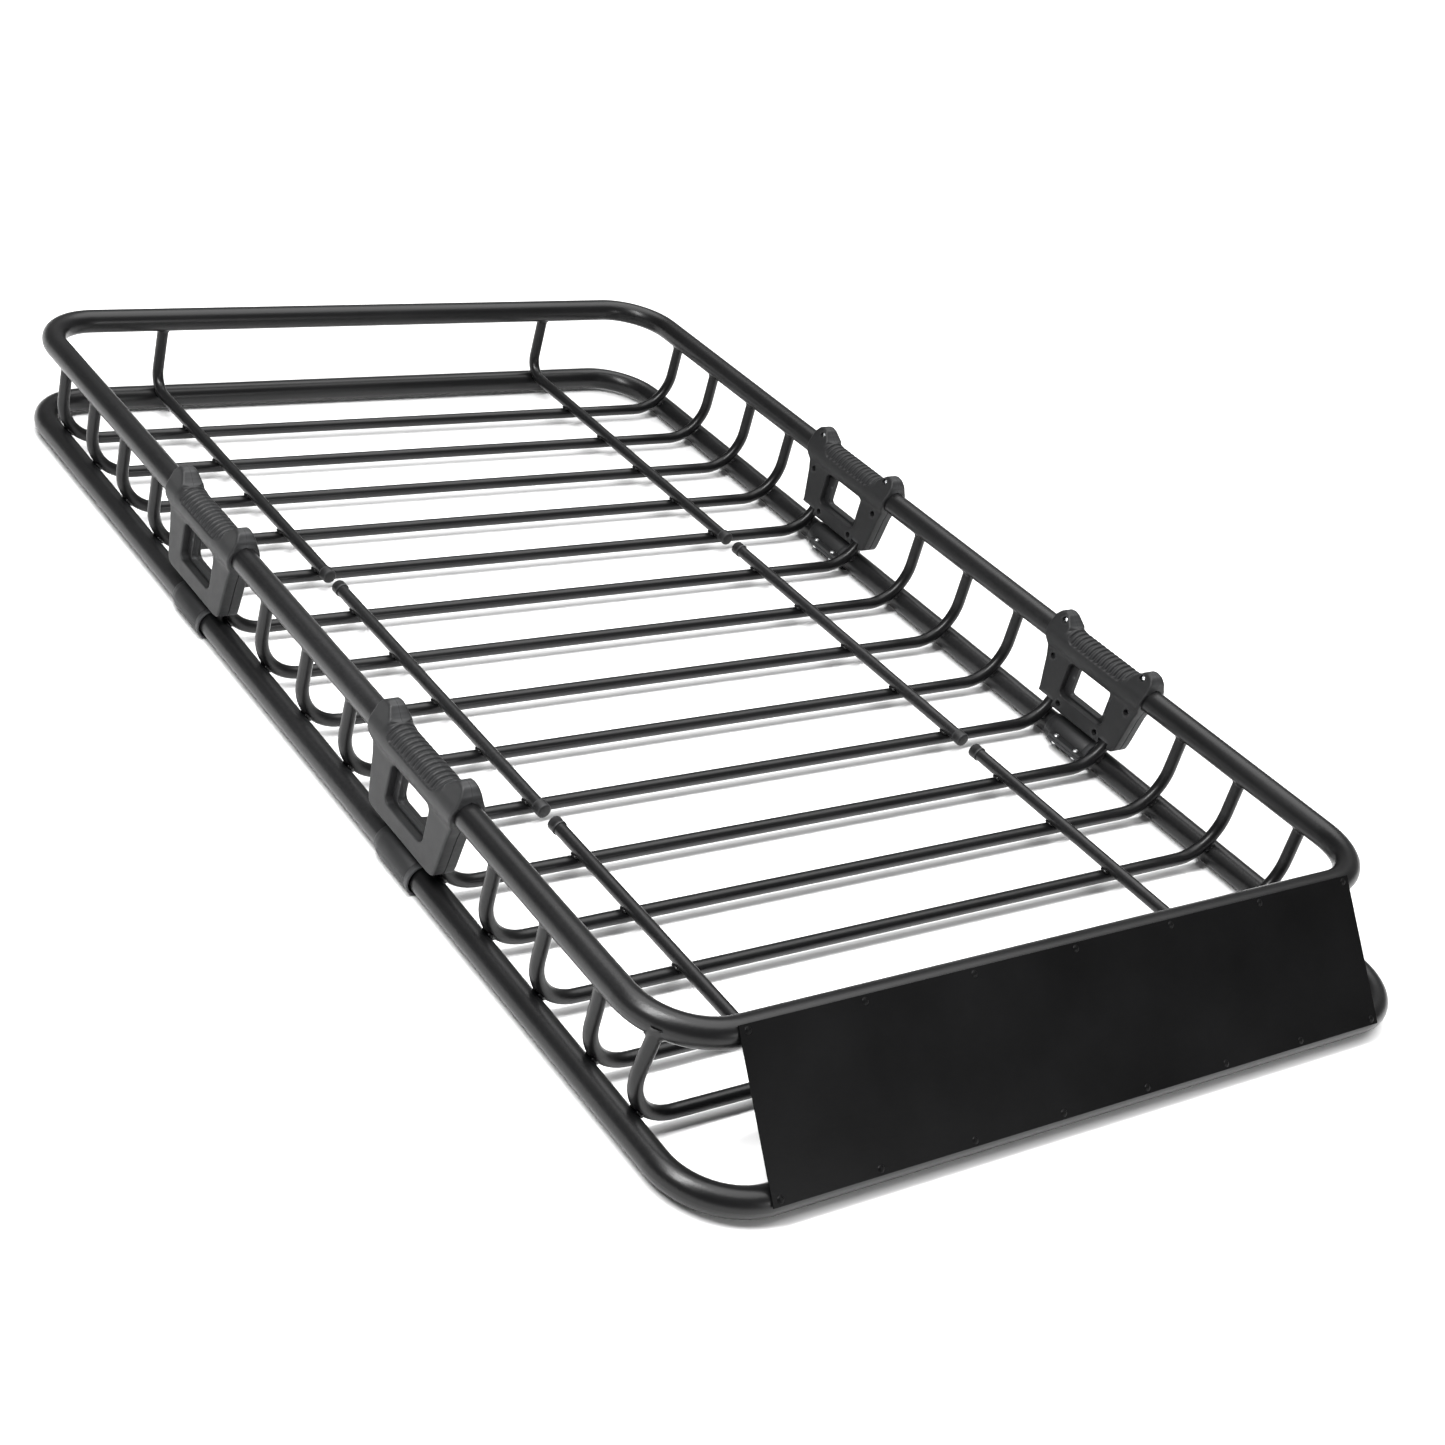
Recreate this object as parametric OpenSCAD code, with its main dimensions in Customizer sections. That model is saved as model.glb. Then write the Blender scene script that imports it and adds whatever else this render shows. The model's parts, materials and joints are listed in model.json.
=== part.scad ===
// Three-section roof cargo basket: two tube rails joined by bent crossbars, long floor rods,
// a front fairing, and plastic handles and couplers that clamp the section joints.
// +Y is the rear, -Y the front with the fairing, +X the right side, +Z up. Millimetres.

/* [Basket] */
// Overall length over the end rails and the fairing rivets
overall_l = 1626; // [1560:2:1700]
// Overall width over the two side rails
overall_w = 991; // [940:1:1040]
// Height from the lower rail's centre to the upper rail's centre
rail_rise = 112; // [100:1:130]
// How far the upper front rail stands back from the lower one
front_setback = 99; // [80:1:110]
// Distance of the two section joints from the middle
joint_y = 254; // [252:1:256]
// Centreline radius of the rail corners
corner_r = 75; // [70:1:85]

/* [Tubes] */
// Outside diameter of the rails
rail_d = 30; // [29.6:0.1:30]
// Outside diameter of the crossbars
bar_d = 15; // [14:0.5:15]
// Diameter of the long floor rods
rod_d = 15; // [12:0.5:16]
// Wall thickness of the rails
rail_wall = 1.2; // [1:0.1:1.5]
// Wall thickness of the crossbars and rods
bar_wall = 1.0; // [0.8:0.1:1.2]
// Length of each spigot inside its socket
spigot_l = 50; // [30:1:60]

/* [Crossbars and rods] */
// Spacing of the rear and front crossbars
end_pitch = 96; // [90:1:98]
// Spacing of the middle crossbars
middle_pitch = 101.5; // [100:0.5:102]
// Spacing of the last two crossbars behind the fairing
last_pitch = 76; // [70:1:80]
// Distance from a joint to the nearest end-section crossbar
joint_to_bar = 51; // [50:1:52]
// Height of the crossbars' floor run, measured from the lower rail's centre
floor_drop = -1; // [-2:0.5:0]
// Distance of each row of floor rods from the middle
rod_x = 303; // [250:1:340]

/* [Fairing] */
// Width of the fairing plate
fairing_w = 832; // [760:2:840]
// Thickness of the fairing plate
fairing_t = 1.2; // [1:0.1:2]
// How far the plate runs past its rows of rivets
fairing_lip = 6; // [4:0.5:8]

/* [Handles and couplers] */
// Height of the handles' horns above the upper rail's centre
horn_h = 33; // [31:0.5:34]
// Depth of the handles below the upper rail's centre
handle_drop = 86; // [84:1:88]
// Outside radius of the couplers
coupler_r = 19; // [18.5:0.5:20]
// Length of the couplers
coupler_l = 76; // [72:1:80]

/* [Hidden] */
$fn = 72;
SIDE = ["left", "right"];

rail_r = rail_d / 2;
bar_r = bar_d / 2;
rod_r = rod_d / 2;
rail_bore = rail_r - rail_wall;
rail_x = overall_w / 2 - rail_r;
lower_z = coupler_r;
upper_z = lower_z + rail_rise;
touch = 0.02;                               // air left between welded neighbours

// Fairing plane: u runs up the slope from the lower rail to the upper one
slope_l = norm([front_setback, rail_rise]);
slope = atan2(rail_rise, front_setback);
plate_off = rail_r + touch;
lip_reach = up(fairing_lip * cos(slope) + (plate_off + fairing_t) * sin(slope));

rear_y = overall_l / 2 - rail_r;
front_y = -overall_l / 2 + max(rail_r, lip_reach);
top_front_y = front_y + front_setback;

seam = 0.3;                                 // air at the section joints
fit = 0.05;                                 // radial clearance of a spigot in its socket
spigot_r = rail_bore - fit;
spigot_bore = spigot_r - rail_wall;
spigot_root = 25;                           // thickened wall behind a spigot

floor_z = lower_z + floor_drop;
rod_z = floor_z + bar_r + rod_r + touch;

// Rounded up to a hundredth
function up(v) = ceil(100 * v) / 100;

// Bend radius that makes a tube's bend just touch the rail it turns up beside.
// reach is the sum of the two radii, h the height of the tube above the rail's centre.
function kiss_r(reach, h) = (reach - h) + sqrt(pow(reach - h, 2) + pow(reach, 2) - pow(h, 2));

bend_r = up(kiss_r(rail_r + bar_r + touch, floor_drop));
rod_bend = up(kiss_r(rail_r + rod_r + touch, rod_z - lower_z));

// Crossbar positions, rear to front, five to a section
rear_bars = [for (i = [4:-1:0]) joint_y + joint_to_bar + i * end_pitch];
middle_bars = [for (i = [2:-1:-2]) i * middle_pitch];
front_bars = [for (i = [0:4]) -joint_y - joint_to_bar - (i < 4 ? i * end_pitch : 3 * end_pitch + last_pitch)];

// Floor rods: where the capped ends lie, and the push-on caps
rod_end_rear = joint_y + 17.5;
rod_end_middle = [joint_y - 2.5, -joint_y + 19];
rod_end_front = -joint_y + 0.5;
cap_r = rod_r + 1.3;
cap_l = 13;
cap_wall = 2;

// Where a crossbar's leg reaches the upper rail at y. Round the front corner the rail draws in,
// and the leg stays on the outer side of its centre.
front_arc_y = top_front_y + corner_r;
corner_leg_out = 8;
function leg_x(y) = y >= front_arc_y ? rail_x
    : min(rail_x, rail_x - corner_r + sqrt(pow(corner_r, 2) - pow(front_arc_y - y, 2)) + corner_leg_out);

// Rivets along the fairing's two long edges
rivet_hole_r = 1.7;
rivet_r = 1.6;
head_r = 3.8;
head_h = 1.3;
top_rivets = 7;
low_rivets = 8;
rivet_inset = 9;                            // rivet centres in from the plate's side edges

// Handle shape, along the rail (s) and up from the upper rail's centre (z)
rail_gap = 0.3;                             // air between the plastic and the tubes
shell_r = 20;                               // plastic round the rail
leg_t = 13;                                 // half thickness of the legs
horn_t = 10.5;                              // half thickness of the horns at their screws
horn_top_t = 8.5;                           // and at their tops
horn_root_t = 19;                           // and at the rail
horn_s = 74;
handle_s = 88;                              // half length at the rail
foot_s = 71;                                // half length at the foot
grip_s = 55;                                // half length of the grip between the horns
grip_h = 19;                                // top of the grip
channel_t = bar_r + 0.7;                    // half width of the channel for a crossbar
window_s = 39;
window_low = -65;
window_high = -18.5;
window_r = 8;
flange_t = 4;                               // half thickness of the flange inside the window
eye_s = 29;                                 // the smaller opening through the flange
eye_low = -62;
eye_high = -22;
eye_r = 6;
split = 0.15;                               // half the gap at the parting plane
screw_r = 2;
screw_head_r = 3.6;
recess = 4;                                 // depth of the screw recesses

// Handle screws, [along the rail, height]: two in the horns, two in the foot, one in the front leg
handle_screws_at = [[70, 24], [-70, 24], [34, -76], [-34, -76], [-67, -26]];
function face_t(p) = p[1] > 0 ? horn_t : leg_t;

// Coupler shape
coupler_bore = rail_r + rail_gap;
ear_w = 17;                                 // ears reach this far past the sleeve
ear_l = 58;
ear_t = 4;
ear_s = -8;                                 // middle of the ears along the rail
ear_screw_s = 18;
ear_screw_x = 23;

STEEL = "#1d1d1f";
PLASTIC = "#303133";
SCREW = "#c9cbce";

// ---------- plain building blocks ----------

// Round bar along +Y from y0 to y1
module along_y(x, y0, y1, z, r) {
    translate([x, y0, z]) rotate([-90, 0, 0]) cylinder(h = y1 - y0, r = r);
}

// Solid U of rail: two legs from y0 back to a cross run at y1, with round corners
module u_run(y0, y1, z, r) {
    for (s = [-1, 1]) along_y(s * rail_x, y0, y1 - corner_r, z, r);
    translate([rail_x - corner_r, y1 - corner_r, z])
        rotate_extrude(angle = 90) translate([corner_r, 0]) circle(r = r);
    translate([corner_r - rail_x, y1 - corner_r, z]) rotate([0, 0, 90])
        rotate_extrude(angle = 90) translate([corner_r, 0]) circle(r = r);
    translate([corner_r - rail_x, y1, z]) rotate([0, 90, 0])
        cylinder(h = 2 * (rail_x - corner_r), r = r);
}

// Swept bend and leg in the XZ plane. The bend starts below (cx, cz), and the leg runs on towards
// (tx, tz), ending this far short of it. A leaning leg joins its bend in a sleeve a hair wider.
module bend_and_leg(cx, cz, bend, tx, tz, r, short = 0) {
    reach = norm([tx - cx, tz - cz]);
    a = round(1000 * (atan2(tz - cz, tx - cx) - acos(bend / reach))) / 1000;
    gap = a == 0 ? 0 : 0.5;
    translate([cx, 0, cz]) {
        rotate([90, 0, 0]) rotate([0, 0, -90])
            rotate_extrude(angle = 90 + a) translate([bend, 0]) circle(r = r);
        rotate([0, -a, 0]) translate([bend, 0, gap]) {
            cylinder(h = sqrt(reach * reach - bend * bend) - short - gap, r = r);
            if (gap > 0) translate([0, 0, -1]) cylinder(h = 1.5, r = r + 0.03);
        }
    }
}

// ---------- rails ----------

// Rear rail: a hollow U whose two front ends are plain sockets
module rear_rail(z) {
    y0 = joint_y + seam / 2;
    color(STEEL) difference() {
        u_run(y0, rear_y, z, rail_r);
        u_run(y0 - 1, rear_y, z, rail_bore);
    }
}

// Front rail, drawn pointing back and mirrored: its two open ends carry spigots
module front_rail(z, y_end) {
    y0 = joint_y + seam / 2;
    color(STEEL) mirror([0, 1, 0]) difference() {
        union() {
            u_run(y0, -y_end, z, rail_r);
            for (s = [-1, 1]) along_y(s * rail_x, y0 - spigot_l, y0 + 1, z, spigot_r);
        }
        u_run(y0 + spigot_root, -y_end, z, rail_bore);
        for (s = [-1, 1]) along_y(s * rail_x, y0 - spigot_l - 1, y0 + spigot_root + 1, z, spigot_bore);
    }
}

// Straight rail of the middle section: spigot at the rear end, socket at the front end
module middle_rail(side, z) {
    y1 = joint_y - seam / 2;
    color(STEEL) difference() {
        union() {
            along_y(side * rail_x, -y1, y1, z, rail_r);
            along_y(side * rail_x, y1 - 1, y1 + spigot_l, z, spigot_r);
        }
        along_y(side * rail_x, -y1 - 1, y1 - spigot_root, z, rail_bore);
        along_y(side * rail_x, y1 - spigot_root - 1, y1 + spigot_l + 1, z, spigot_bore);
    }
}

// ---------- crossbars ----------

module bar_run(y, r) {
    cx = rail_x - bend_r;
    translate([0, y, 0]) {
        translate([-cx, 0, floor_z]) rotate([0, 90, 0]) cylinder(h = 2 * cx, r = r);
        for (m = [0, 1]) mirror([m, 0, 0])
            bend_and_leg(cx, floor_z + bend_r, bend_r, leg_x(y), upper_z, r);
    }
}

// Crossbar at y, hollow, with its two upper ends cut to sit against the upper rail
module crossbar(y) {
    color(STEEL) difference() {
        bar_run(y, bar_r);
        bar_run(y, bar_r - bar_wall);
        if (y >= front_arc_y + bar_r) {
            for (s = [-1, 1]) along_y(s * rail_x, y - bar_d, y + bar_d, upper_z, rail_r + touch);
        } else {
            mirror([0, 1, 0]) u_run(-y - 4 * bar_d, -top_front_y, upper_z, rail_r + touch);
        }
    }
}

// ---------- floor rods ----------

// Rear rod: straight over the crossbars, then up to the underside of the upper rear rail
module rear_rod_run(r) {
    cy = rear_y - rod_bend;
    along_y(0, rod_end_rear + cap_wall, cy, rod_z, r);
    rotate([0, 0, 90]) bend_and_leg(cy, rod_z + rod_bend, rod_bend, rear_y, upper_z, r);
}

// Front rod: the same, with its leg sloping back behind the fairing to the upper front rail.
// The leg ends flat, this far short of that rail's centre.
module front_rod_run(r, short) {
    lean = slope + asin((rail_r + rod_r) / slope_l);
    corner = -top_front_y + (upper_z - rod_z) / tan(lean);
    cy = up(corner - rod_bend * tan((180 - lean) / 2));
    mirror([0, 1, 0]) {
        along_y(0, -rod_end_front + cap_wall, cy, rod_z, r);
        rotate([0, 0, 90]) bend_and_leg(cy, rod_z + rod_bend, rod_bend, -top_front_y, upper_z, r, short);
    }
}

module rear_rod(side) {
    color(STEEL) translate([side * rod_x, 0, 0]) difference() {
        rear_rod_run(rod_r);
        rear_rod_run(rod_r - bar_wall);
        translate([-rod_d, rear_y, upper_z]) rotate([0, 90, 0]) cylinder(h = 2 * rod_d, r = rail_r + touch);
    }
}

module front_rod(side) {
    color(STEEL) translate([side * rod_x, 0, 0]) difference() {
        front_rod_run(rod_r, rail_r + touch);
        front_rod_run(rod_r - bar_wall, rail_r - 1);
    }
}

module middle_rod(side) {
    y0 = rod_end_middle[1] + cap_wall;
    y1 = rod_end_middle[0] - cap_wall;
    color(STEEL) difference() {
        along_y(side * rod_x, y0, y1, rod_z, rod_r);
        along_y(side * rod_x, y0 - 1, y1 + 1, rod_z, rod_r - bar_wall);
    }
}

// Push-on end caps whose closed ends lie at y; dir is the way the cup opens
module rod_caps(y, dir) {
    color(PLASTIC) for (s = [-1, 1]) translate([s * rod_x, y, rod_z]) rotate([-90 * dir, 0, 0]) difference() {
        union() {
            cylinder(h = 1, r1 = cap_r - 1, r2 = cap_r);
            translate([0, 0, 1]) cylinder(h = cap_l - 1, r = cap_r);
        }
        translate([0, 0, cap_wall]) cylinder(h = cap_l, r = rod_r + touch);
    }
}

// ---------- fairing ----------

// Puts children in the fairing's frame: +Y up the slope, +Z outward, origin on the lower rail's axis
module on_slope() {
    translate([0, front_y, lower_z]) rotate([slope, 0, 0]) children();
}

function rivet_x(i, n) = (i / (n - 1) - 0.5) * (fairing_w - 2 * rivet_inset);

module each_rivet(upper) {
    n = upper ? top_rivets : low_rivets;
    for (i = [0:n - 1]) translate([rivet_x(i, n), upper ? slope_l : 0, 0]) children();
}

module rivet_holes(upper) {
    on_slope() each_rivet(upper) cylinder(h = rail_d, r = rivet_hole_r, $fn = 24);
}

module fairing() {
    color(STEEL) on_slope() difference() {
        translate([-fairing_w / 2, -fairing_lip, plate_off])
            cube([fairing_w, slope_l + 2 * fairing_lip, fairing_t]);
        for (upper = [false, true]) each_rivet(upper) cylinder(h = rail_d, r = rivet_hole_r, $fn = 24);
    }
}

// Blind rivets: domed head on the plate, stem through the plate and the rail's wall
module fairing_rivets() {
    seat = plate_off + fairing_t + touch;
    color(STEEL) on_slope() for (upper = [false, true]) each_rivet(upper) {
        translate([0, 0, rail_bore - 2]) cylinder(h = seat - rail_bore + 2.5, r = rivet_r, $fn = 24);
        translate([0, 0, seat]) cylinder(h = head_h / 2, r1 = head_r, r2 = head_r * 0.85, $fn = 24);
        translate([0, 0, seat + head_h / 2])
            cylinder(h = head_h / 2, r1 = head_r * 0.85, r2 = head_r * 0.4, $fn = 24);
    }
}

module front_upper_rail() {
    color(STEEL) difference() {
        front_rail(upper_z, top_front_y);
        rivet_holes(true);
    }
}

module front_lower_rail() {
    color(STEEL) difference() {
        front_rail(lower_z, front_y);
        rivet_holes(false);
    }
}

// ---------- handles ----------

// Places a handle drawn at the origin: +X outward, +Y rear, z from the upper rail's centre
module at_joint(side, end, z) {
    translate([side * rail_x, end * joint_y, z]) mirror([side < 0 ? 1 : 0, 0, 0]) children();
}

// Side view of the handle as a prism along X
module handle_side() {
    half = [
        [grip_s, grip_h], [horn_s - 4, horn_h - 1.5], [horn_s, horn_h], [horn_s + 7, horn_h - 1.5],
        [handle_s - 1, horn_h - 9], [handle_s, 14], [handle_s - 2, -5], [handle_s - 9, -30],
        [foot_s, -handle_drop + 12], [foot_s - 3, -handle_drop + 3], [foot_s - 9, -handle_drop]
    ];
    far = [for (i = [len(half) - 1:-1:0]) [-half[i][0], half[i][1]]];
    rotate([90, 0, 90]) translate([0, 0, -shell_r - 1]) linear_extrude(2 * shell_r + 2)
        polygon(concat(half, far));
}

// Handle's section across the rail: round over the rail, flat on the legs, with two tapered horns
module handle_end() {
    length = 2 * handle_s + 2;
    translate([0, -length / 2, 0]) rotate([-90, 0, 0]) cylinder(h = length, r = shell_r);
    translate([-leg_t, -length / 2, -handle_drop - 1]) cube([2 * leg_t, length, handle_drop + 1]);
    for (m = [0, 1]) mirror([0, m, 0]) translate([0, handle_s + 1, 0]) rotate([90, 0, 0])
        linear_extrude(handle_s + 1 - grip_s) polygon([
            [-horn_root_t, 5], [-horn_top_t, horn_h + 1], [horn_top_t, horn_h + 1], [horn_root_t, 5]
        ]);
}

// Opening with round corners, from x0 to x1
module opening(x0, x1, half, low, high, r) {
    translate([x0, -half, low + r]) cube([x1 - x0, 2 * half, high - low - 2 * r]);
    translate([x0, r - half, low]) cube([x1 - x0, 2 * (half - r), high - low]);
    for (d = [-1, 1], z = [low + r, high - r]) translate([x0, d * (half - r), z]) rotate([0, 90, 0])
        cylinder(h = x1 - x0, r = r, $fn = 32);
}

// Hand window: deep in both faces, down to a flange with a smaller opening through it
module handle_window() {
    reach = shell_r + 2;
    opening(flange_t, reach, window_s, window_low, window_high, window_r);
    opening(-reach, -flange_t, window_s, window_low, window_high, window_r);
    opening(-reach, reach, eye_s, eye_low, eye_high, eye_r);
}

// Channel for a crossbar between s0 and s1 along the rail: straight beside the leg, and following
// the bar's bend where it swings inward through the handle's inner face
module bar_channel(s0, s1) {
    top = handle_drop + 2;
    room = channel_t - 0.2;
    translate([-channel_t, s0, -top]) cube([2 * channel_t, s1 - s0, top]);
    translate([-bend_r, s1, floor_z + bend_r - upper_z]) rotate([90, 0, 0]) linear_extrude(s1 - s0)
        intersection() {
            difference() {
                circle(r = bend_r + room);
                circle(r = bend_r - room);
            }
            translate([0, -2 * bend_r]) square(2 * bend_r);
        }
}

// Room for the rail and for two crossbars. The rear channel is open to the rear, so that the
// section behind can slide out.
module handle_channels() {
    along_y(0, -handle_s - 2, handle_s + 2, 0, rail_r + rail_gap);
    bar_channel(joint_to_bar - channel_t, joint_to_bar - channel_t + handle_s);
    mid = -(joint_y - 2 * middle_pitch);
    bar_channel(min(mid, -joint_to_bar) - channel_t, max(mid, -joint_to_bar) + channel_t);
}

module screw_bores() {
    for (p = handle_screws_at) translate([-face_t(p) - 8, p[0], p[1]]) rotate([0, 90, 0]) {
        cylinder(h = 2 * face_t(p) + 5, r = screw_r, $fn = 24);
        cylinder(h = 8 + recess, r = screw_head_r + 0.3, $fn = 24);
    }
    leg = handle_screws_at[4];
    translate([-leg_t - 1, -leg[0], leg[1]]) rotate([0, 90, 0])
        cylinder(h = recess + 1, r = screw_head_r + 0.3, $fn = 24);
}

// One half shell; half is 1 for the outer one and -1 for the inner one
module handle_shell(half) {
    reach = shell_r + 2;
    color(PLASTIC) difference() {
        intersection() {
            handle_side();
            handle_end();
            translate([half > 0 ? split : -reach, -handle_s - 1, -handle_drop - 1])
                cube([reach - split, 2 * handle_s + 2, handle_drop + horn_h + 2]);
        }
        handle_channels();
        handle_window();
        screw_bores();
    }
}

module handle_screws() {
    color(SCREW) for (p = handle_screws_at)
    translate([-face_t(p) + recess - 2.4, p[0], p[1]]) rotate([0, 90, 0]) {
        cylinder(h = 2.3, r = screw_head_r, $fn = 24);
        translate([0, 0, 2.3]) cylinder(h = 2 * face_t(p) - recess - 4, r = screw_r - touch, $fn = 24);
    }
}

// ---------- couplers ----------

// Sleeve with a tapered rear end and a wider mouth in front, and the ears on its inner side
module coupler_body() {
    taper = 10;
    half = coupler_l / 2;
    translate([0, -half, 0]) rotate([-90, 0, 0]) {
        cylinder(h = coupler_l - taper, r = coupler_r);
        translate([0, 0, coupler_l - taper]) cylinder(h = taper, r1 = coupler_r, r2 = coupler_bore + 1);
    }
    translate([-coupler_r - ear_w / 2, ear_s - ear_l / 2, -ear_t])
        cube([coupler_r + ear_w / 2 - coupler_bore, ear_l, 2 * ear_t]);
}

module coupler_half(half) {
    reach = coupler_r + ear_w;
    mouth = 6;
    color(PLASTIC) difference() {
        intersection() {
            coupler_body();
            translate([-reach, -coupler_l, half > 0 ? split : -reach])
                cube([2 * reach, 2 * coupler_l, reach - split]);
        }
        along_y(0, -coupler_l, coupler_l, 0, coupler_bore);
        along_y(0, -coupler_l, mouth - coupler_l / 2, 0, coupler_bore + 1.6);
        for (s = [-1, 1]) translate([-ear_screw_x, ear_s + s * ear_screw_s, -ear_t - 1])
            cylinder(h = 2 * ear_t + 2, r = screw_r, $fn = 24);
    }
}

module coupler_screws() {
    color(SCREW) for (s = [-1, 1]) translate([-ear_screw_x, ear_s + s * ear_screw_s, 0]) {
        translate([0, 0, -ear_t - 2]) cylinder(h = 2 * ear_t + 2, r = screw_r - touch, $fn = 24);
        translate([0, 0, ear_t + touch]) {
            cylinder(h = 1.2, r1 = screw_head_r, r2 = screw_head_r - 0.4, $fn = 24);
            translate([0, 0, 1.2]) cylinder(h = 0.8, r1 = screw_head_r - 0.4, r2 = 1.8, $fn = 24);
        }
        translate([0, 0, -ear_t - touch - 2.4]) cylinder(h = 2.4, r = 3.4, $fn = 6);
    }
}

// ---------- nodes ----------

rear_rail(upper_z);  // rear_upper_rail
rear_rail(lower_z);  // rear_lower_rail
middle_rail(-1, upper_z);  // middle_upper_rail_left
middle_rail(1, upper_z);  // middle_upper_rail_right
middle_rail(-1, lower_z);  // middle_lower_rail_left
middle_rail(1, lower_z);  // middle_lower_rail_right
front_upper_rail();
front_lower_rail();
for (i = [0:4]) {
    crossbar(rear_bars[i]);
    crossbar(middle_bars[i]);
    crossbar(front_bars[i]);
}
for (m = [0, 1]) {
    side = 2 * m - 1;
    rear_rod(side);
    middle_rod(side);
    front_rod(side);
}
rod_caps(rod_end_rear, 1);  // rear_rod_caps
union() {  // middle_rod_caps
    rod_caps(rod_end_middle[0], -1);
    rod_caps(rod_end_middle[1], 1);
}
rod_caps(rod_end_front, -1);  // front_rod_caps
fairing();
fairing_rivets();
for (e = [0, 1], m = [0, 1]) {
    end = 1 - 2 * e;
    side = 2 * m - 1;
    name = str(e == 0 ? "rear_" : "front_", SIDE[m]);
    at_joint(side, end, upper_z) handle_shell(1);
    at_joint(side, end, upper_z) handle_shell(-1);
    at_joint(side, end, upper_z) handle_screws();
    at_joint(side, end, lower_z) coupler_half(1);
    at_joint(side, end, lower_z) coupler_half(-1);
    at_joint(side, end, lower_z) coupler_screws();
}
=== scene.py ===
import json
import math
import random

import bpy
import numpy as np
from mathutils import Matrix, Vector
from mathutils.geometry import delaunay_2d_cdt


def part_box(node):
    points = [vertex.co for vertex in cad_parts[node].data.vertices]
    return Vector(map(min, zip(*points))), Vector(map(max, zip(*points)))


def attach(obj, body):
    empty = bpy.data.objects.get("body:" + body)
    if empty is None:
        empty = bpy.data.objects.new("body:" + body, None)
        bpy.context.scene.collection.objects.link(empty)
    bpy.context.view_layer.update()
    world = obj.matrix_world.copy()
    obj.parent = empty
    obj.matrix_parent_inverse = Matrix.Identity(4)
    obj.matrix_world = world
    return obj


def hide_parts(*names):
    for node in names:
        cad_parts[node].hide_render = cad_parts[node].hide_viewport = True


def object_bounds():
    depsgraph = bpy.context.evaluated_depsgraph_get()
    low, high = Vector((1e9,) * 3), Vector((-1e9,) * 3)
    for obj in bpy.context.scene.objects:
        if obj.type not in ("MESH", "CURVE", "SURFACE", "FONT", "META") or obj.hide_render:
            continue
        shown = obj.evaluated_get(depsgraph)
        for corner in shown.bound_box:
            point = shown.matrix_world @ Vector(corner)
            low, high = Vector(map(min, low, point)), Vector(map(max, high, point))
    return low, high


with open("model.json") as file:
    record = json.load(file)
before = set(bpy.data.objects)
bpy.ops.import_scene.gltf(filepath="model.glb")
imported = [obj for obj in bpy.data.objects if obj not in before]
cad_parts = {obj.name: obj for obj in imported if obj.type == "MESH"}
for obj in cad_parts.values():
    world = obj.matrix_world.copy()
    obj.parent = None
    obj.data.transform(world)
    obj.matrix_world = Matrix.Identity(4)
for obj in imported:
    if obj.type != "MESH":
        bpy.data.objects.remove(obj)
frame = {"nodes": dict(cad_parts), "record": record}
CAD_LO, CAD_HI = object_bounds()

MM = 0.001

# ---------------------------------------------------------------- sizes, from the CAD frame


def centre(node):
    lo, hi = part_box(node)
    return (lo + hi) / 2


RAIL_R = (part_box("middle_upper_rail_right")[1].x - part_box("middle_upper_rail_right")[0].x) / 2
RAIL_X = centre("middle_upper_rail_right").x
UPPER_Z = centre("middle_upper_rail_right").z
LOWER_Z = centre("middle_lower_rail_right").z
BAR_R = (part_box("rear_crossbar_1")[1].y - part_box("rear_crossbar_1")[0].y) / 2
FLOOR_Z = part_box("rear_crossbar_1")[0].z + BAR_R
ROD_R = (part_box("middle_floor_rod_right")[1].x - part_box("middle_floor_rod_right")[0].x) / 2
ROD_X = centre("middle_floor_rod_right").x
ROD_Z = centre("middle_floor_rod_right").z
JOINT_Y = centre("rear_right_handle_outer").y
REAR_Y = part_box("rear_lower_rail")[1].y - RAIL_R
TOP_FRONT_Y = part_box("front_upper_rail")[0].y + RAIL_R
CORNER_R = 0.075
# where the upper rail turns in, a crossbar's leg stands this far outside the rail's axis
CORNER_LEG_OUT = 0.008
# where a crossbar's bend begins, to about 1 mm
FLAT_HALF = 0.4235
BEND_R = RAIL_X - FLAT_HALF
SECTIONS = ("rear", "middle", "front")
BARS = {s: [centre(f"{s}_crossbar_{i}").y for i in range(1, 6)] for s in SECTIONS}

# ---------------------------------------------------------------- node helpers


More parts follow.
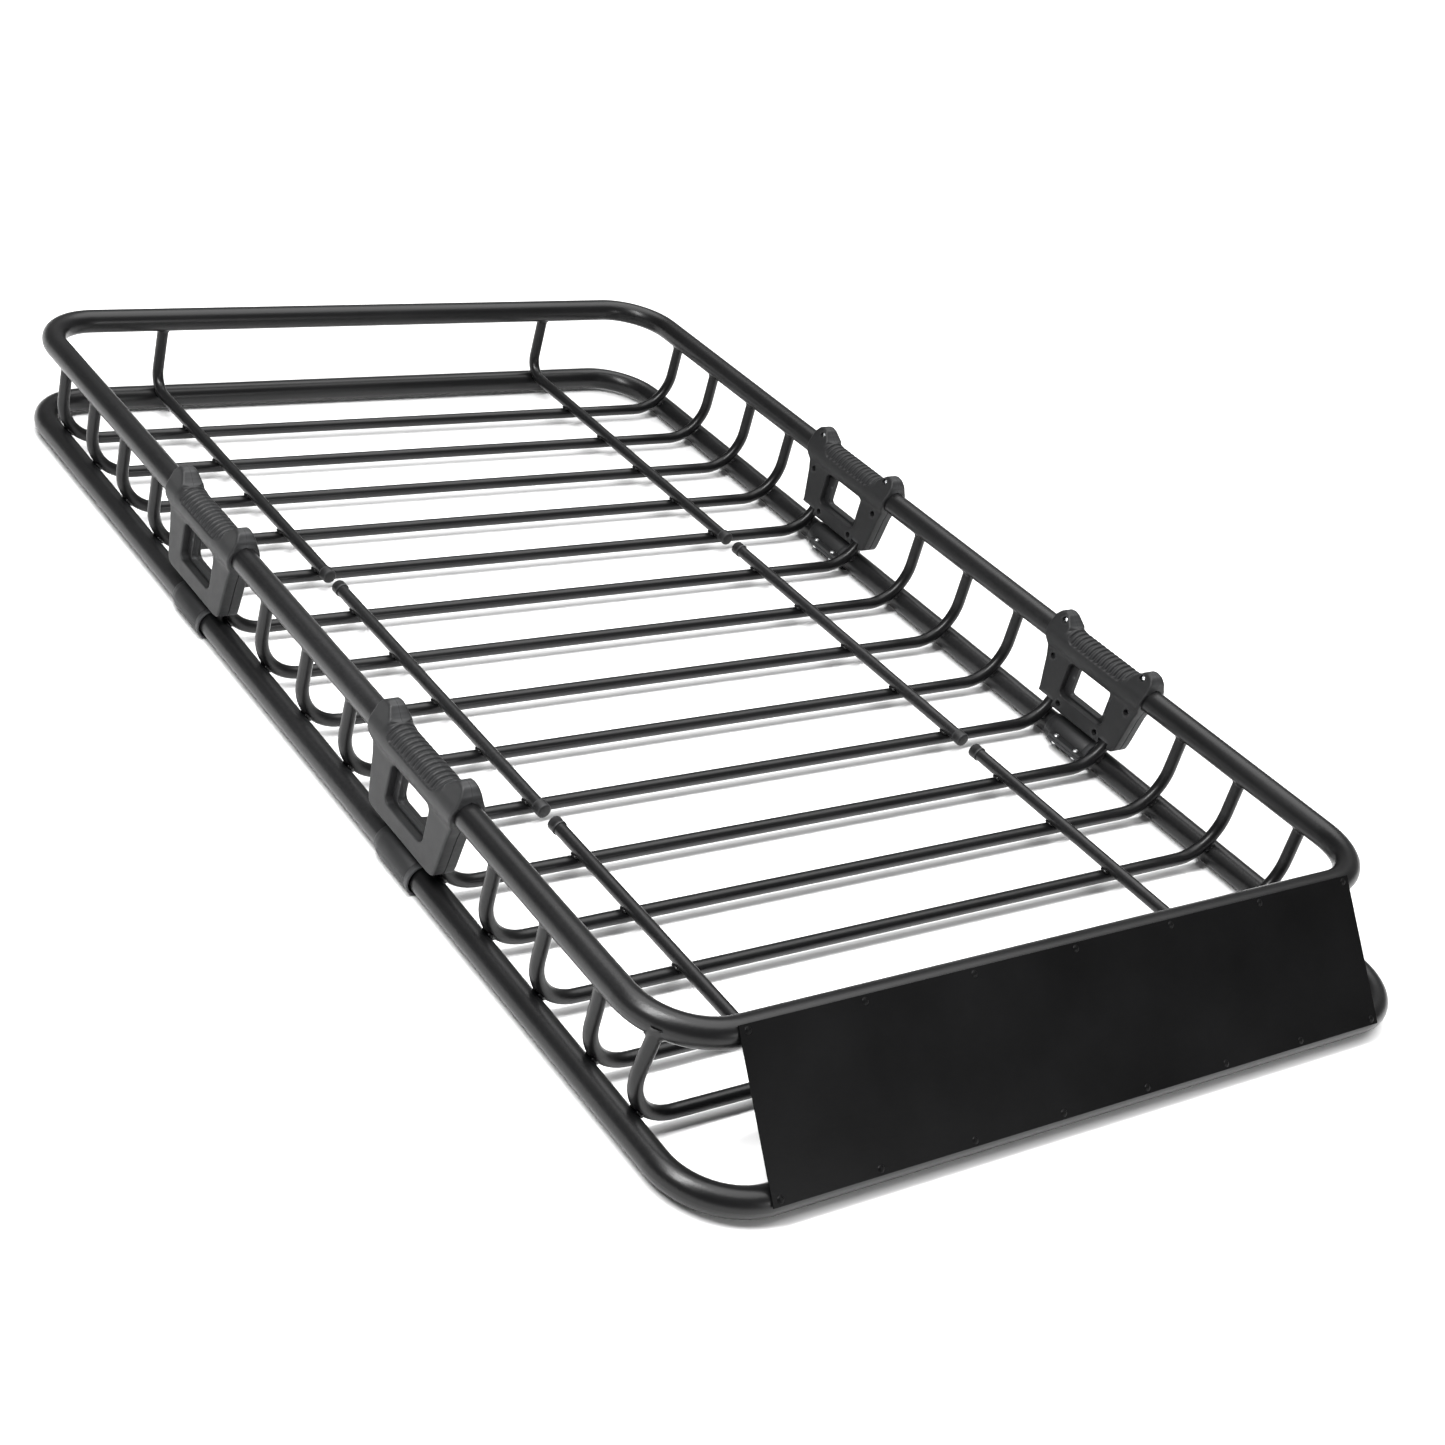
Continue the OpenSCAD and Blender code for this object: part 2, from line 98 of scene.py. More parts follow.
class Graph:
    """A material's node tree, with short calls for the nodes used here."""

    def __init__(self, name):
        self.mat = bpy.data.materials.new(name)
        self.mat.use_nodes = True
        self.tree = self.mat.node_tree
        self.shader = self.tree.nodes["Principled BSDF"]
        self.coords = self.tree.nodes.new("ShaderNodeTexCoord").outputs["Object"]

    def link(self, a, b):
        self.tree.links.new(a, b)

    def noise(self, scale, detail=3.0, rough=0.55, stretch=None):
        n = self.tree.nodes.new("ShaderNodeTexNoise")
        n.inputs["Scale"].default_value = scale
        n.inputs["Detail"].default_value = detail
        n.inputs["Roughness"].default_value = rough
        source = self.coords
        if stretch:
            m = self.tree.nodes.new("ShaderNodeMapping")
            m.inputs["Scale"].default_value = stretch
            self.link(source, m.inputs["Vector"])
            source = m.outputs["Vector"]
        self.link(source, n.inputs["Vector"])
        return n.outputs["Fac"]

    def voronoi(self, scale):
        n = self.tree.nodes.new("ShaderNodeTexVoronoi")
        n.inputs["Scale"].default_value = scale
        self.link(self.coords, n.inputs["Vector"])
        return n.outputs["Distance"]

    def ramp(self, fac, stops):
        n = self.tree.nodes.new("ShaderNodeValToRGB")
        while len(n.color_ramp.elements) < len(stops):
            n.color_ramp.elements.new(0.5)
        for e, (at, value) in zip(n.color_ramp.elements, stops):
            e.position = at
            e.color = tuple(value) + (1,) if isinstance(value, (tuple, list)) else (value,) * 3 + (1,)
        self.link(fac, n.inputs["Fac"])
        return n.outputs["Color"]

    def math(self, op, a, b):
        n = self.tree.nodes.new("ShaderNodeMath")
        n.operation = op
        for socket, v in zip(n.inputs, (a, b)):
            if isinstance(v, (int, float)):
                socket.default_value = v
            else:
                self.link(v, socket)
        return n.outputs["Value"]

    def bump(self, height, strength, distance, below=None):
        n = self.tree.nodes.new("ShaderNodeBump")
        n.inputs["Strength"].default_value = strength
        n.inputs["Distance"].default_value = distance
        self.link(height, n.inputs["Height"])
        if below is not None:
            self.link(below, n.inputs["Normal"])
        return n.outputs["Normal"]

    def mix(self, fac, a, b):
        n = self.tree.nodes.new("ShaderNodeMix")
        n.data_type = "RGBA"
        self.link(fac, n.inputs["Factor"])
        for socket, v in ((n.inputs["A"], a), (n.inputs["B"], b)):
            if isinstance(v, tuple):
                socket.default_value = v + (1,)
            else:
                self.link(v, socket)
        return n.outputs["Result"]

    def edge_wear(self, low, high):
        """0 where the mesh is flat, towards 1 where it turns sharply outward. It is read at vertices, so a
        flat face with no vertices away from its edges counts as edge throughout."""
        g = self.tree.nodes.new("ShaderNodeNewGeometry")
        return self.ramp(g.outputs["Pointiness"], [(low, 0.0), (high, 1.0)])


RUBBED_COAT = (0.09, 0.09, 0.092)
RUBBED_PLASTIC = (0.11, 0.112, 0.116)


def powder_coat(name, dark, light, rough, waviness, specular, worn):
    """Black powder coat: fine orange peel, slow changes of colour and gloss, and edges rubbed by worn."""
    g = Graph(name)
    patches = g.noise(6.0, 4.0)
    fine = g.noise(260.0, 3.0)
    grain = g.noise(1500.0, 2.0)
    coat = g.mix(g.ramp(patches, [(0.35, 0.0), (0.7, 1.0)]), dark, light)
    wear = g.math("MULTIPLY", g.edge_wear(0.53, 0.62), g.math("MULTIPLY", fine, worn))
    g.link(g.mix(wear, coat, RUBBED_COAT), g.shader.inputs["Base Color"])
    gloss = g.math("ADD", g.math("MULTIPLY", patches, 0.12), g.math("MULTIPLY", fine, 0.08))
    g.link(g.math("ADD", gloss, rough - 0.1), g.shader.inputs["Roughness"])
    peel = g.bump(g.noise(420.0, 2.0, 0.4), 0.17, 0.0004)
    peel = g.bump(grain, 0.09, 0.0002, peel)
    if waviness:
        peel = g.bump(g.noise(4.0, 1.0), waviness, 0.01, peel)
    g.link(peel, g.shader.inputs["Normal"])
    g.shader.inputs["Specular IOR Level"].default_value = specular
    return g.mat


def moulded_plastic(name, dark, light, rough):
    """Matt moulded plastic: fine spark-eroded grain, faint flow marks and paler rubbed edges."""
    g = Graph(name)
    flow = g.noise(18.0, 3.0, 0.6, stretch=(1.0, 0.25, 1.0))
    grain = g.voronoi(1400.0)
    base = g.mix(g.ramp(flow, [(0.3, 0.0), (0.75, 1.0)]), dark, light)
    rub = g.math("MULTIPLY", g.edge_wear(0.52, 0.64), 0.5)
    g.link(g.mix(rub, base, RUBBED_PLASTIC), g.shader.inputs["Base Color"])
    g.link(g.math("ADD", g.math("MULTIPLY", g.noise(90.0), 0.14), rough - 0.07), g.shader.inputs["Roughness"])
    normal = g.bump(grain, 0.12, 0.0002)
    g.link(g.bump(g.noise(700.0, 3.0), 0.10, 0.0002, normal), g.shader.inputs["Normal"])
    g.shader.inputs["Specular IOR Level"].default_value = 0.25
    return g.mat


def zinc_steel(name):
    """Bright zinc-plated screws with turning marks and a few dull spots."""
    g = Graph(name)
    spots = g.noise(300.0, 4.0)
    g.link(g.ramp(spots, [(0.3, (0.6, 0.61, 0.62)), (0.65, (0.88, 0.885, 0.89))]),
           g.shader.inputs["Base Color"])
    g.link(g.math("ADD", g.math("MULTIPLY", spots, 0.25), 0.16), g.shader.inputs["Roughness"])
    g.link(g.bump(g.noise(900.0, 2.0, 0.5, stretch=(1.0, 1.0, 8.0)), 0.2, 0.0002),
           g.shader.inputs["Normal"])
    g.shader.inputs["Metallic"].default_value = 1.0
    return g.mat


MATERIALS = {
    "powder_coat": powder_coat(
        "powder_coat", (0.0025, 0.0025, 0.0027), (0.0048, 0.0048, 0.0051),
        rough=0.33, waviness=0, specular=0.27, worn=0.12),
    "fairing_coat": powder_coat(
        "fairing_coat", (0.0022, 0.0022, 0.0023), (0.0042, 0.0042, 0.0044),
        rough=0.36, waviness=0.1, specular=0.06, worn=0.0),
    "handle_plastic": moulded_plastic(
        "handle_plastic", (0.0085, 0.0087, 0.0091), (0.0125, 0.0127, 0.0132), rough=0.52),
    "cap_plastic": moulded_plastic(
        "cap_plastic", (0.005, 0.005, 0.0052), (0.008, 0.008, 0.0084), rough=0.5),
    "screw_steel": zinc_steel("screw_steel"),
}
SLOT_OF = {p["node"]: p["material_slot"] for p in frame["record"]["subparts"]}
for node, obj in frame["nodes"].items():
    obj.data.materials.clear()
    obj.data.materials.append(MATERIALS[SLOT_OF[node]])

BODY_OF = {n: b for b, ns in frame["record"]["behaviour"]["bodies"].items() for n in ns}

# ---------------------------------------------------------------- mesh helpers


class Build:
    """Collects vertices and faces for one piece."""

    def __init__(self):
        self.verts, self.faces = [], []

    def add(self, verts, faces):
        at = len(self.verts)
        self.verts += [tuple(v) for v in verts]
        self.faces += [tuple(at + i for i in f) for f in faces]

    def object(self, name, slot, body, smooth=40.0, replaces=()):
        mesh = bpy.data.meshes.new(name)
        mesh.from_pydata(self.verts, [], self.faces)
        mesh.validate()
        mesh.shade_smooth()
        mesh.set_sharp_from_angle(angle=math.radians(smooth))
        mesh.materials.append(MATERIALS[slot])
        obj = bpy.data.objects.new(name, mesh)
        bpy.context.scene.collection.objects.link(obj)
        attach(obj, body)
        if replaces:
            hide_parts(*replaces)
        return obj


def ring_faces(rows, n, close_rows=False):
    """Quads between rows of n points each, every row a closed ring."""
    faces = []
    last = rows if close_rows else rows - 1
    for r in range(last):
        a, b = r * n, ((r + 1) % rows) * n
        faces += [(a + i, a + (i + 1) % n, b + (i + 1) % n, b + i) for i in range(n)]
    return faces


def lathe(profile, n=32):
    """Closed solid turned about +Z from (radius, height) points. A zero radius makes a pole."""
    verts, faces, rows = [], [], []
    turns = [2 * math.pi * i / n for i in range(n)]
    for r, h in profile:
        if r == 0:
            rows.append([len(verts)] * n)
            verts.append((0, 0, h))
        else:
            rows.append(list(range(len(verts), len(verts) + n)))
            verts += [(r * math.cos(a), r * math.sin(a), h) for a in turns]
    for a, b in zip(rows, rows[1:]):
        for i in range(n):
            quad = [a[i], a[(i + 1) % n], b[(i + 1) % n], b[i]]
            quad = [v for k, v in enumerate(quad) if v not in quad[:k]]
            if len(quad) > 2:
                faces.append(quad)
    return verts, faces


def placed(verts, matrix):
    return [matrix @ Vector(v) for v in verts]


def toward(direction, origin):
    """Matrix that turns +Z to direction and moves the origin there."""
    turn = Vector(direction).normalized().to_track_quat("Z", "Y").to_matrix().to_4x4()
    return Matrix.Translation(Vector(origin)) @ turn


# ---------------------------------------------------------------- welds

# the bead round a tube's end: how far it spreads on the rail, and how far it climbs up the tube
BAR_BEAD = (0.0036, 0.0052)
ROD_BEAD = (0.0036, 0.005)
# a weld's surface starts this far inside the tubes
SUNK = 0.0003
# fillets beside a crossbar on the lower rail, and beside a floor rod on a crossbar: half the distance
# between the two, height above the tube, and half lengths
RAIL_FILLET = (0.0048, 0.0012, (0.0062, 0.0031, 0.0026))
ROD_FILLET = (0.0046, 0.0011, (0.0056, 0.0031, 0.0023))
# where a crossbar's leg and a front floor rod's upturned end begin to run straight, as heights above the
# axes of the lower rail and of the rod's floor part
LEG_FOOT, ROD_FOOT = 0.056, 0.012


def cope_bead(build, at, along, rail_dir, tube_r, rail_r, wide, high, rng, off=(0, 0, 0)):
    """Weld bead round a tube of radius tube_r that ends against a rail. at is a point on the tube's
    axis, off from the rail's own, and along is the tube's direction towards it."""
    u, v, off = Vector(along).normalized(), Vector(rail_dir).normalized(), Vector(off)
    e1 = (v - u * v.dot(u)).normalized()
    e2 = u.cross(e1)
    n, steps = 40, 7
    wobble = [1 + 0.10 * math.sin(7 * 2 * math.pi * i / n + rng.random() * 0.7) + rng.uniform(-0.05, 0.05)
              for i in range(n)]
    rows = []
    for k in range(steps + 1):
        t = k / steps
        row = []
        for i in range(n):
            a = 2 * math.pi * i / n
            rho = tube_r - SUNK + wide * wobble[i] * t ** 1.7
            q = e1 * (rho * math.cos(a)) + e2 * (rho * math.sin(a))
            qp, up = q + off - v * (q + off).dot(v), u - v * u.dot(v)
            aa, bb, cc = up.dot(up), 2 * qp.dot(up), qp.dot(qp) - rail_r ** 2
            dist = (-bb - math.sqrt(max(bb * bb - 4 * aa * cc, 0))) / (2 * aa)
            lift = high * wobble[i] * (1 - t) ** 1.9 - SUNK
            row.append(Vector(at) + q + u * (dist - lift))
        rows.append(row)
    # a last ring inside the tube closes the bead
    core = Vector(at) + u * (-rail_r + 0.001)
    rows.append([(rows[0][i] + rows[-1][i]) / 2 * 0.6 + core * 0.4 for i in range(n)])
    build.add([p for row in rows for p in row], ring_faces(len(rows), n, close_rows=True))


def blob(build, at, axes, sizes, rng):
    """Lumpy ellipsoid of weld metal. axes are three directions, sizes its half lengths."""
    rows, n = 7, 14
    axes = [Vector(a).normalized() for a in axes]
    verts, faces = [], []
    phase = rng.random() * 6.28
    for k in range(rows + 1):
        lat = math.pi * (k / rows - 0.5)
        for i in range(n if 0 < k < rows else 1):
            lon = 2 * math.pi * i / n
            lump = 1 + 0.07 * math.sin(3 * lon + phase) * math.cos(lat) + rng.uniform(-0.03, 0.03)
            c = (math.sin(lat), math.cos(lat) * math.cos(lon), math.cos(lat) * math.sin(lon))
            verts.append(Vector(at) + sum((a * (s * m * lump) for a, s, m in zip(axes, sizes, c)), Vector()))
    for i in range(n):
        faces.append((0, 1 + (i + 1) % n, 1 + i))
    for k in range(rows - 2):
        a, b = 1 + k * n, 1 + (k + 1) * n
        faces += [(a + i, a + (i + 1) % n, b + (i + 1) % n, b + i) for i in range(n)]
    top, a = len(verts) - 1, 1 + (rows - 2) * n
    faces += [(top, a + i, a + (i + 1) % n) for i in range(n)]
    build.add(verts, faces)


def upper_x(y):
    """Half width of the upper rail's axis at y, and the rail's direction there."""
    arc_y = TOP_FRONT_Y + CORNER_R
    if y >= arc_y:
        return RAIL_X, Vector((0, 1, 0))
    dy = arc_y - y
    dx = math.sqrt(CORNER_R ** 2 - dy ** 2)
    return RAIL_X - CORNER_R + dx, Vector((dy, dx, 0)).normalized()


def fillet_pair(build, at, apart, axes, sizes, rng):
    """Two blobs, apart to each side of at."""
    for way in (-1, 1):
        blob(build, at + Vector(apart) * way, axes, sizes, rng)


def crossbar_welds(build, y, side, rng):
    """A crossbar's welds on one side: to the upper rail, the lower rail and the floor rod."""
    x, rail_dir = upper_x(y)
    leg_x = min(RAIL_X, x + CORNER_LEG_OUT)
    top, foot = Vector((side * leg_x, y, UPPER_Z)), Vector((side * RAIL_X, y, LOWER_Z + LEG_FOOT))
    way = Vector((side * rail_dir.x, rail_dir.y, 0))
    cope_bead(build, top, top - foot, way, BAR_R, RAIL_R, *BAR_BEAD, rng, (side * (leg_x - x), 0, 0))
    # where the bend lies against the lower rail
    half, high, sizes = RAIL_FILLET
    out, tangent = Vector((-side, 0, 1)).normalized(), Vector((side, 0, 1)).normalized()
    at = Vector((side * RAIL_X, y, LOWER_Z)) + out * (RAIL_R + high)
    fillet_pair(build, at, (0, half, 0), (tangent, (0, 1, 0), out), sizes, rng)
    half, high, sizes = ROD_FILLET
    at = Vector((side * ROD_X, y, FLOOR_Z + BAR_R + high))
    fillet_pair(build, at, (half, 0, 0), ((0, 1, 0), (1, 0, 0), (0, 0, 1)), sizes, rng)


def welds(section):
    """All weld metal of one section, as one piece."""
    rng = random.Random(section)
    build = Build()
    for y in BARS[section]:
        for side in (-1, 1):
            crossbar_welds(build, y, side, rng)
    # where the outer sections' floor rods end under the upper rail
    for side in (-1, 1):
        if section == "rear":
            end = (side * ROD_X, REAR_Y, UPPER_Z)
            cope_bead(build, end, (0, 0, 1), (1, 0, 0), ROD_R, RAIL_R, *ROD_BEAD, rng)
        if section == "front":
            lo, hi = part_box(f"front_floor_rod_{'left' if side < 0 else 'right'}")
            end = (side * ROD_X, TOP_FRONT_Y, UPPER_Z)
            lean = Vector((0, TOP_FRONT_Y - (lo.y + ROD_R), UPPER_Z - (ROD_Z + ROD_FOOT))).normalized()
            cope_bead(build, end, lean, (1, 0, 0), ROD_R, RAIL_R, *ROD_BEAD, rng)
    build.object(f"{section}_welds", "powder_coat", BODY_OF[f"{section}_crossbar_1"], smooth=80)


for section in SECTIONS:
    welds(section)

# ---------------------------------------------------------------- handles

# Side view, in millimetres: (along the rail, up from its centre, corner radius). This is the rear
# half, and the front half mirrors it.
GRIP_S, GRIP_H = 55.0, 19.6
HALF_OUTLINE = [
    (GRIP_S + 1, GRIP_H, 7), (67.5, 31, 4), (74, 33, 5), (82, 31, 7), (87, 23.5, 7), (88, 12, 12),
    (86, -6, 20), (78.5, -31, 40), (71.5, -73, 20), (68.5, -84, 8), (58, -86, 5)]
# the grip's round form, outward and upward from the rail's centre, and how far the legs stand out
SHELL_R, CREST, LEG_T = 20.0, 19.75, 13.0
# half width, low edge, high edge and corner radius of the recess and of the hole through it
WINDOW = (39.0, -65.0, -18.5, 8.0)
EYE = (29.0, -62.0, -22.0, 6.0)
# how far out the recess's floor lies, and the radii of the rounded edges
FLANGE_T = 4.0
OUTER_ROUND, WINDOW_ROUND, EYE_ROUND = 2.6, 1.8, 0.8
# a horn's face: where it rises along the rail, over what length, how far out, and its slope
HORN_S, HORN_RISE, HORN_T, HORN_SLOPE = 49.0, 9.0, 20.9, 0.375
# hollows for the rail and for the crossbars on both sides of the joint
BORE = RAIL_R / MM + 0.3
CHANNEL_S, CHANNEL_T = 51.0, BAR_R / MM + 0.7
FRONT_CHANNEL, REAR_CHANNEL = (-CHANNEL_S - CHANNEL_T, -CHANNEL_S + CHANNEL_T), CHANNEL_S - CHANNEL_T
BEND_Z = (FLOOR_Z - UPPER_Z) / MM + BEND_R / MM
# below this height the inner half is open for the crossbars
NOTCH_Z = -77.4
# width and slope of the parting plane's chamfer, which runs along the outline below this height
CHAMFER_W, CHAMFER_SLOPE, CHAMFER_TOP_Z = 0.9, 0.6, -14
# half the gap between the halves, and the least thickness of a wall
SPLIT, MIN_WALL = 0.15, 0.4
RIB_PITCH, RIB_DEEP = 7.7, 2.1
PATCH_S, PATCH_LOW, PATCH_R, PATCH_DEEP = 51.5, 4.0, 11.0, 0.9
# radius of the screw pockets, and the width of their walls in the side view
SEAT_R, SEAT_WALL = 3.9, 0.06
# the inner half's pockets: along the rail, height, depth, and the face that they sink from
SCREWS = [(70, 24, 5.0, 11.9), (-70, 24, 5.0, 11.9), (34, -76, 8.5, LEG_T), (-34, -76, 8.5, LEG_T),
          (-67, -26, 8.5, LEG_T)]
# a pocket without a screw
BLIND = (67, -26, 3.9, LEG_T)


def fillet(points, step=1.4):
    """Closed loop through corner points with a radius each, as evenly spaced points."""
    loop, n = [], len(points)
    for i, (x, y, r) in enumerate(points):
        p = np.array((x, y), float)
        a = np.array(points[i - 1][:2], float) - p
        b = np.array(points[(i + 1) % n][:2], float) - p
        la, lb = np.linalg.norm(a), np.linalg.norm(b)
        a, b = a / la, b / lb
        half = math.acos(max(-1, min(1, a @ b))) / 2
        cut = min(r / math.tan(half), 0.48 * la, 0.48 * lb)
        r = cut * math.tan(half)
        mid = p + (a + b) / np.linalg.norm(a + b) * (r / math.sin(half))
        p0, p1 = p + a * cut, p + b * cut
        a0 = math.atan2(*(p0 - mid)[::-1])
        turn = (math.atan2(*(p1 - mid)[::-1]) - a0 + math.pi) % (2 * math.pi) - math.pi
        k = max(2, int(abs(turn) * r / step) + 1, int(abs(turn) / 0.22) + 1)
        loop += [mid + r * np.array((math.cos(a0 + turn * j / k), math.sin(a0 + turn * j / k)))
                 for j in range(k + 1)]
    out = []
    for p, q in zip(loop, loop[1:] + loop[:1]):
        k = max(1, int(np.linalg.norm(q - p) / step))
        out += [p + (q - p) * j / k for j in range(k)]
    return np.array(out)


def inset(loop, d):
    """Loop moved inwards (anticlockwise loops) or outwards (clockwise) by d."""
    e = np.roll(loop, -1, 0) - loop
    e /= np.linalg.norm(e, axis=1)[:, None]
    normal = np.stack([-e[:, 1], e[:, 0]], 1)
    m = normal + np.roll(normal, 1, 0)
    m /= np.linalg.norm(m, axis=1)[:, None]
    return loop + m * d / np.maximum((m * normal).sum(1), 0.5)[:, None]


def gap_to(points, loop):
    """Distance from each point to a closed polyline."""
    best = np.full(len(points), 1e9)
    for p, q in zip(loop, np.roll(loop, -1, 0)):
        d = q - p
        t = np.clip(((points - p) @ d) / (d @ d), 0, 1)
        best = np.minimum(best, np.linalg.norm(points - p - t[:, None] * d, axis=1))
    return best


def inside(points, loop):
    """Whether each point lies inside a closed polyline, by counting crossings."""
    x, y = points[:, 0], points[:, 1]
    hit = np.zeros(len(points), bool)
    for (x0, y0), (x1, y1) in zip(loop, np.roll(loop, -1, 0)):
        if y0 != y1:
            cross = ((y0 > y) != (y1 > y)) & (x < (x1 - x0) * (y - y0) / (y1 - y0) + x0)
            hit ^= cross
    return hit


def circle(cx, cy, r, n=24):
    return np.array([(cx + r * math.cos(2 * math.pi * i / n), cy + r * math.sin(2 * math.pi * i / n))
                     for i in range(n)])


def smooth_max(a, b, k):
    """The larger of two heights, blended where they differ by less than k."""
    h = np.clip(0.5 + 0.5 * (a - b) / k, 0, 1)
    return b + (a - b) * h + k * h * (1 - h)


def edge_round(d, r):
    """How far a rounded edge of radius r lies below the face, d in from the edge."""
    d = np.clip(d, 0, r)
    return r - np.sqrt(np.maximum(r * r - (r - d) ** 2, 0))


def step(x):
    """Smooth step from 0 at x = 0 to 1 at x = 1."""
    x = np.clip(x, 0, 1)
    return x * x * (3 - 2 * x)


def grip_depth(s, z):
    """How deep the ribbed patch of the grip lies below its round form at height z."""
    arc = SHELL_R * np.arcsin(np.clip(z / CREST, -1, 1))
    qs, qa = np.abs(s) - (PATCH_S - PATCH_R), PATCH_LOW + PATCH_R - arc
    edge = np.hypot(np.maximum(qs, 0), np.maximum(qa, 0)) + np.minimum(np.maximum(qs, qa), 0) - PATCH_R
    groove = (0.5 + 0.5 * np.cos(2 * math.pi * (s / RIB_PITCH + 0.5))) ** 4
    return step(-edge / 1.1) * PATCH_DEEP + step(-edge / 2.5) * RIB_DEEP * groove


def grip_outline():
    front = [(-s, z, r) for s, z, r in HALF_OUTLINE]
    loop = fillet(HALF_OUTLINE[::-1] + front)[::-1]
    # finer points with the groove profile along the top of the grip
    top = (np.abs(loop[:, 0]) < GRIP_S - 2) & (loop[:, 1] > GRIP_H - 0.5)
    first = np.where(top)[0][0]
    keep = loop[~top]
    run = np.arange(-GRIP_S + 2, GRIP_S - 2, RIB_PITCH / 10)
    order = run if loop[first, 0] < loop[np.where(top)[0][-1], 0] else run[::-1]
    arc = np.stack([order, GRIP_H - grip_depth(order, np.full(len(order), CREST))], 1)
    before = int((~top[:first]).sum())
    return np.concatenate([keep[:before], arc, keep[before:]])


def turned(loop, way):
    """The loop, anticlockwise for way 1 and clockwise for way -1."""
    x, y = loop[:, 0], loop[:, 1]
    area = 0.5 * (x @ np.roll(y, -1) - y @ np.roll(x, -1))
    return loop if area * way > 0 else loop[::-1]


def handle_faces(points, outer, window, eye, screws):
    """Outer face height of a handle half at each point of its side view, in millimetres."""
    s, z = points[:, 0], points[:, 1]
    deep = grip_depth(s, z)
    up = np.maximum(z, 0)
    rail = (SHELL_R - deep) * np.sqrt(np.maximum(1 - (up / (CREST - deep)) ** 2, 0))
    rail = np.where(z < 0, np.sqrt(np.maximum(SHELL_R ** 2 - z ** 2, 0)), rail)
    horn = np.minimum(HORN_T - HORN_SLOPE * up, SHELL_R - 0.2) * step((np.abs(s) - HORN_S) / HORN_RISE)
    top = np.where(z < 0, smooth_max(rail, np.full(len(s), LEG_T), 6.0), smooth_max(rail, horn, 1.5))
    top = np.minimum(top, SHELL_R)
    d_window, d_outer = gap_to(points, window), gap_to(points, outer)
    top = top - edge_round(d_window, WINDOW_ROUND) - edge_round(d_outer, OUTER_ROUND)
    recess = inside(points, window) & (d_window > 0.03)
    top = np.where(recess, FLANGE_T - edge_round(gap_to(points, eye), EYE_ROUND), top)
    for cs, cz, pocket, face in screws:
        top = np.where(np.hypot(s - cs, z - cz) < SEAT_R + 0.01, face - pocket, top)
    return top


def in_slots(s):
    """Whether a place along the rail lies in a crossbar's channel. The rear one is open to the rear."""
    return ((s > FRONT_CHANNEL[0]) & (s < FRONT_CHANNEL[1])) | (s > REAR_CHANNEL)


def handle_backs(points, outer, inner):
    """Inner face height: the parting plane, cut away over the rail and the crossbars."""
    s, z = points[:, 0], points[:, 1]
    chamfer = np.clip(CHAMFER_W - gap_to(points, outer), 0, CHAMFER_W) * CHAMFER_SLOPE
    back = SPLIT + np.where(z < CHAMFER_TOP_Z, chamfer, 0)
    back = np.maximum(back, np.sqrt(np.maximum(BORE ** 2 - z ** 2, 0)))
    channel = np.full(len(s), CHANNEL_T)
    if inner:
        bend, below = BEND_R / MM, np.maximum(BEND_Z - z, 0)
        inward = bend - np.sqrt(np.maximum((bend - CHANNEL_T + 0.2) ** 2 - below ** 2, 0))
        channel = np.where(z < BEND_Z, np.maximum(channel, inward), channel)
    return np.maximum(back, np.where((z < 0) & in_slots(s), channel, 0))


def mesh_points(outer, window, eye, screws):
    """Points of the side view between its loops, closer together where the surface turns."""
    free = [inset(outer, d) for d in (0.12, 0.45, 1.0, 1.8, OUTER_ROUND)]
    free += [inset(window, d) for d in (-0.07, 0.1, 0.4, 0.9, WINDOW_ROUND)]
    free += [inset(eye, d) for d in (0.1, 0.35, EYE_ROUND)]
    rows_z = [-BORE - 0.01, BORE + 0.01] + [BORE * math.sin(math.radians(a)) for a in range(-80, 81, 8)]
    grip_z = [CREST * math.sin(math.radians(a)) for a in range(-4, 86, 6)]
    edge_z = [PATCH_LOW + d for d in (-0.3, 0.3, 1.2, 1.9)]
    grip = [(s, z) for s in np.arange(-GRIP_S, GRIP_S + 0.1, RIB_PITCH / 10) for z in grip_z + edge_z]
    ends = [(s, z) for s in list(np.arange(-86, -GRIP_S, 2.4)) + list(np.arange(GRIP_S + 2, 87, 2.4))
            for z in np.arange(-2, 31, 2.0)]
    rail = [(s, z) for s in np.arange(-86.5, 87, 3.6) for z in rows_z if z < -1]
    low_grid = [(s, z) for s in np.arange(-84, 85, 3.0) for z in np.arange(-83, -16, 3.0)]
    lines = [(s + d, z) for s in (*FRONT_CHANNEL, REAR_CHANNEL) for d in (-0.03, 0.03)
             for z in np.arange(-84.5, -0.5, 2.0)]
    slot_s = [*np.arange(FRONT_CHANNEL[0] + 1, FRONT_CHANNEL[1], 2.4), *np.arange(REAR_CHANNEL + 1, 86, 2.4)]
    lines += [(s, z) for s in slot_s for z in (-0.04, 0.04, NOTCH_Z)]
    free = np.concatenate(free + [np.array(p) for p in (grip, ends, rail, low_grid, lines)])
    ok = inside(free, outer) & ~inside(free, eye)
    ok &= (gap_to(free, outer) > 0.08) & (gap_to(free, window) > 0.05) & (gap_to(free, eye) > 0.08)
    for cs, cz, _, _ in screws:
        ok &= np.hypot(free[:, 0] - cs, free[:, 1] - cz) > SEAT_R + 0.4
    return free[ok]


